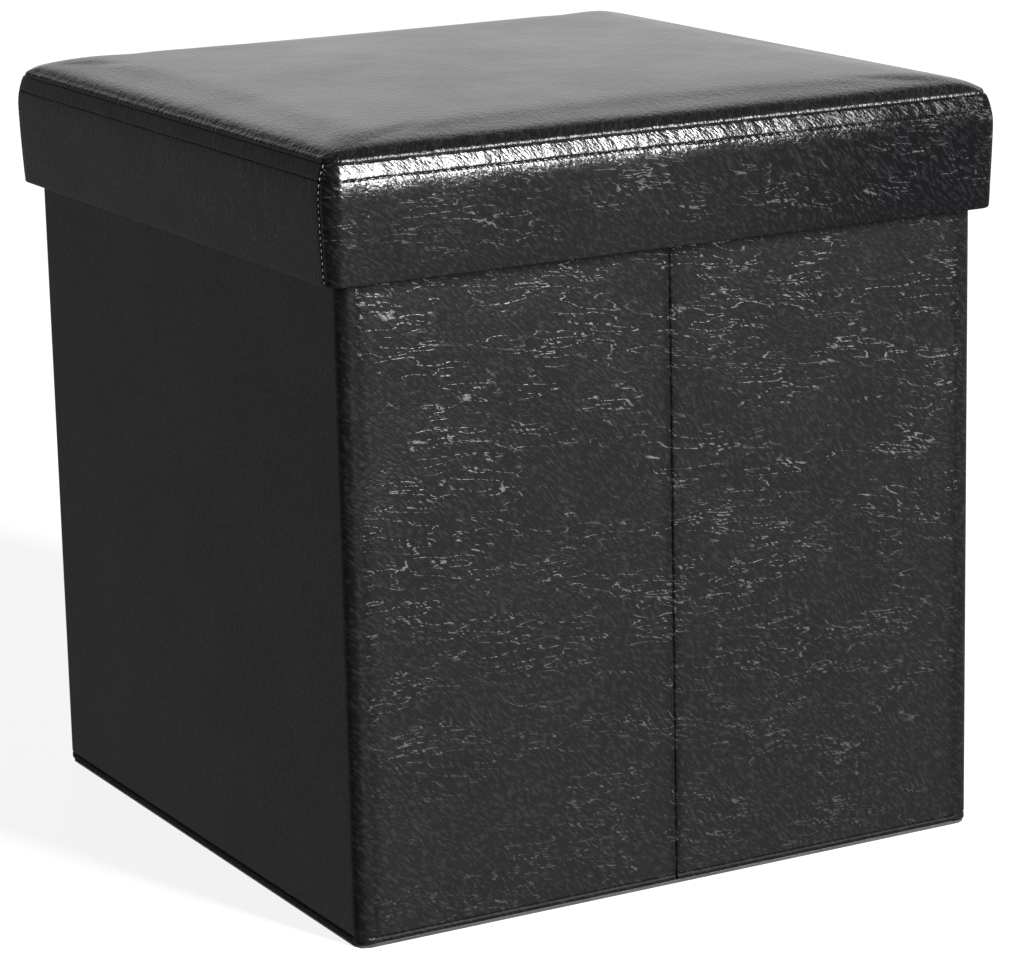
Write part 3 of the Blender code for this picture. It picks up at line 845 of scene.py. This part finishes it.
def padded_top():
    """The lid's top cover and the foam in it, as one filled pad."""
    piece = pad_shape()
    fill_pad(piece)
    smooth_points(piece, 2)
    finer = piece.modifiers.new("finer mesh", "SUBSURF")
    finer.levels = finer.render_levels = 1
    skin = seen_mesh(piece)
    piece.modifiers.clear()
    piece.data = skin
    shape_pad_skin(piece)
    finish_mesh(piece, 80)
    give(piece, top_leather, "black_leather", "lid", "lid_top_cover", "lid_foam")


padded_top()


def lid_underside():
    low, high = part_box("lid_lining")
    piece = laid_cloth("lid_inside_cloth", low, high, 0.0002, 95, True)
    give(piece, nonwoven_cloth, "black_nonwoven", "lid", "lid_lining")


lid_underside()

for name in (*(panel + "_board" for panel in PANELS), "lid_board", "base_panel"):
    nodes[name].material_slots[0].material = hardboard
for side in SIDES:
    nodes["skirt_" + side + "_board"].material_slots[0].material = grey_card


# ------------------------------------ stitches

def stitch_maker():
    """A tree of geometry nodes that lays stitches along a line."""
    tree = bpy.data.node_groups.new("stitches along a line", "GeometryNodeTree")
    face = tree.interface
    wanted = {"Geometry": "Geometry", "Pitch": "Float", "Stitch Length": "Float", "Thread": "Float",
              "Finish": "Material"}
    for label, kind in wanted.items():
        face.new_socket(label, in_out="INPUT", socket_type="NodeSocket" + kind)
    face.new_socket("Geometry", in_out="OUTPUT", socket_type="NodeSocketGeometry")

    def add(kind, inputs=None, **settings):
        return add_node(tree, kind, inputs, **settings).outputs

    given = add("NodeGroupInput")
    line = {"Curve": given["Geometry"], "Length": given["Pitch"]}
    spaced = add("GeometryNodeResampleCurve", line, mode="LENGTH")
    bead = add("GeometryNodeMeshUVSphere", {"Segments": 6, "Rings": 5, "Radius": 0.5})
    sizes = {"X": given["Stitch Length"], "Y": given["Thread"], "Z": given["Thread"]}
    size = add("ShaderNodeCombineXYZ", sizes)
    shaped = add("GeometryNodeTransform", {"Geometry": bead["Mesh"], "Scale": size[0]})
    tangent = add("GeometryNodeInputTangent")
    aim = add("FunctionNodeAlignRotationToVector", {"Vector": tangent[0]}, axis="X")
    uneven = add("FunctionNodeRandomValue", {2: 0.86, 3: 1.12, "Seed": 5}, data_type="FLOAT")
    laid = add("GeometryNodeInstanceOnPoints", {
        "Points": spaced["Curve"], "Instance": shaped["Geometry"],
        "Rotation": aim["Rotation"], "Scale": uneven[1]})
    real = add("GeometryNodeRealizeInstances", {"Geometry": laid["Instances"]})
    painted = add("GeometryNodeSetMaterial", {"Geometry": real["Geometry"], "Material": given["Finish"]})
    add("NodeGroupOutput", {"Geometry": painted["Geometry"]})
    return tree


STITCHES = stitch_maker()
INPUT_ID = {item.name: item.identifier for item in STITCHES.interface.items_tree if item.in_out == "INPUT"}


def sew(name, lines, pitch, long, thick, finish, body):
    """Rows of stitches along lines of points, as one piece."""
    curve = bpy.data.curves.new(name + "_line", "CURVE")
    curve.dimensions = "3D"
    for points, closed in lines:
        spline = curve.splines.new("POLY")
        spline.points.add(len(points) - 1)
        for target, point in zip(spline.points, points):
            target.co = (*point, 1.0)
        spline.use_cyclic_u = closed
    line = new_object(name + "_line", curve)
    maker = line.modifiers.new("stitches", "NODES")
    maker.node_group = STITCHES
    for label, value in (("Pitch", pitch), ("Stitch Length", long), ("Thread", thick), ("Finish", finish)):
        maker[INPUT_ID[label]] = value
    mesh = seen_mesh(line)
    bpy.data.objects.remove(line)
    piece = new_object(name, mesh)
    mesh.shade_smooth()
    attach(piece, body)


def lid_stitches():
    """The topstitch round the lid, and the pale rows that close the skirt's corners."""
    line = []
    depth = float(skirt_face(STITCH_HEIGHT)) - 0.00022
    corner = np.linspace(0, 45.0, 6)
    stations = [(-RING, -degrees, 0) for degrees in corner[::-1]]
    stations += [(along, 0.0, 0) for along in steps_between(-RING, RING, 0.004)[1:-1]]
    stations += [(RING, degrees, 0) for degrees in corner]
    for side, way in (("front", 1), ("right", 1), ("back", -1), ("left", -1)):
        offset = np.full((len(stations), 1), depth)
        height = np.full((len(stations), 1), STITCH_HEIGHT)
        line += [tuple(p[0]) for p in skirt_points(side, stations[::way], offset, height)][:-1]
    sew("lid_topstitch", [(line, True)], STITCH_PITCH, STITCH_LONG, THREAD, dark_thread, "lid")
    rows = []
    heights = steps_between(SKIRT_LOW + 0.0025, LID_SEAM - 0.0012, 0.002)
    offset = (skirt_face(heights) - 0.00015)[None, :]
    for side in ("left", "right"):
        for end in (-1, 1):
            station = (end * RING, end * (90.0 - CORNER_WRAP), 0)
            points = skirt_points(side, [station], offset, heights[None, :])[0]
            rows.append(([tuple(p) for p in points], False))
    sew("lid_corner_stitches", rows, 0.0030, 0.0019, 0.00042, pale_thread, "lid")


lid_stitches()


# ------------------------------------ the studio

def lit_paint(name, tone, roughness, brightness):
    """A grey paint that doesn't shine and gives off its own white light."""
    return Finish(name, (tone, tone, tone), roughness, {
        GLOSS: 0.0, "Emission Color": WHITE, "Emission Strength": brightness}).material


def studio_floor():
    """A plain pale floor that keeps out of the reflections, which the studio's own light gives."""
    floor = make_object("studio_floor", [(-9, -9, 0), (9, -9, 0), (9, 9, 0), (-9, 9, 0)], [(0, 1, 2, 3)])
    floor.data.materials.append(lit_paint("pale floor", 0.30, 0.9, 0.88))
    floor.visible_glossy = False


def studio_backdrop():
    """A white surround that only the camera sees."""
    made = bmesh.new()
    bmesh.ops.create_icosphere(made, subdivisions=4, radius=12)
    mesh = bpy.data.meshes.new("studio_backdrop")
    made.to_mesh(mesh)
    made.free()
    mesh.flip_normals()
    mesh.materials.append(lit_paint("white backdrop", 0.0, 1.0, 1.05))
    backdrop = new_object("studio_backdrop", mesh)
    for ray in ("diffuse", "glossy", "transmission", "volume_scatter", "shadow"):
        setattr(backdrop, "visible_" + ray, False)


# Broad soft glows round the object: (direction, half angle where it is full, where it ends, brightness)
GLOWS = [
    ((0.47, -0.85, -0.30), 10, 55, 0.31),     # pale floor in front and to the right
    ((0.50, 0.85, 0.16), 14, 36, 1.13),       # white wall behind and to the right
    ((-0.47, 0.85, -0.25), 10, 55, 0.18),     # dim floor behind and to the left
    ((1.0, 0.10, 0.15), 10, 55, 0.26),        # white wall on the right
    ((0.10, -0.20, -1.0), 10, 80, 0.15),      # floor underneath
]
DIM = 0.02                                     # brightness where no glow reaches


def studio_world():
    """Dim surroundings, with the glows added to them."""
    world = bpy.data.worlds.new("soft studio")
    world.use_nodes = True
    tree = world.node_tree
    tree.nodes.clear()
    direction = add_node(tree, "ShaderNodeTexCoord").outputs["Generated"]
    total = DIM
    for toward, full, gone, brightness in GLOWS:
        facing = add_node(tree, "ShaderNodeVectorMath", {0: direction, 1: Vector(toward).normalized()},
                          operation="DOT_PRODUCT")
        glow = add_node(tree, "ShaderNodeMapRange", {
            "Value": facing.outputs["Value"], "From Min": math.cos(math.radians(gone)),
            "From Max": math.cos(math.radians(full)), "To Max": brightness},
            interpolation_type="SMOOTHSTEP")
        together = {0: glow.outputs["Result"], 1: total}
        total = add_node(tree, "ShaderNodeMath", together, operation="ADD").outputs[0]
    light = add_node(tree, "ShaderNodeBackground", {"Color": WHITE, "Strength": total})
    add_node(tree, "ShaderNodeOutputWorld", {"Surface": light.outputs[0]})
    bpy.context.scene.world = world


def softbox(name, toward, distance, wide, tall, power):
    """A soft light that faces the object from a direction, and that the camera doesn't see."""
    data = bpy.data.lights.new(name, "AREA")
    data.shape = "RECTANGLE"
    data.size, data.size_y = wide, tall
    data.energy = power
    lamp = new_object(name, data)
    aim = Vector((0, 0, 0.3))
    back = Vector(toward).normalized()
    lamp.location = aim + back * distance
    lamp.rotation_euler = back.to_track_quat("Z", "Y").to_euler()
    lamp.visible_camera = False


TARGET = Vector((0, 0, 0.19))         # the camera faces this point, before its shift sideways and up
CAMERA_AZIMUTH, CAMERA_ELEVATION, CAMERA_ROLL = -28.746, 13.994, -1.254
CAMERA_DISTANCE, CAMERA_SIDE, CAMERA_UP = 2.1035, 0.0070, -0.0211
CAMERA_LENS = 139.26


def camera():
    """The camera, placed by its direction, distance and shift from the target."""
    turn, lift = math.radians(CAMERA_AZIMUTH), math.radians(CAMERA_ELEVATION)
    back = Vector((math.sin(turn) * math.cos(lift), -math.cos(turn) * math.cos(lift), math.sin(lift)))
    level = (-back).cross(Vector((0, 0, 1))).normalized()
    upright = level.cross(-back)
    roll = math.radians(CAMERA_ROLL)
    right = math.cos(roll) * level + math.sin(roll) * upright
    up = -math.sin(roll) * level + math.cos(roll) * upright
    data = bpy.data.cameras.new("camera")
    data.lens = CAMERA_LENS
    data.sensor_width = 36.0
    seen_from = new_object("camera", data)
    seen_from.matrix_world = Matrix.Translation(
        TARGET + back * CAMERA_DISTANCE + right * CAMERA_SIDE + up * CAMERA_UP
    ) @ Matrix((right, up, back)).transposed().to_4x4()
    bpy.context.scene.camera = seen_from


studio_floor()
studio_backdrop()
studio_world()
softbox("key softbox", (0.340, -0.93, 0.385), 9.0, 1.7, 4.6, 2150)
camera()
bpy.context.scene.view_settings.view_transform = "Standard"
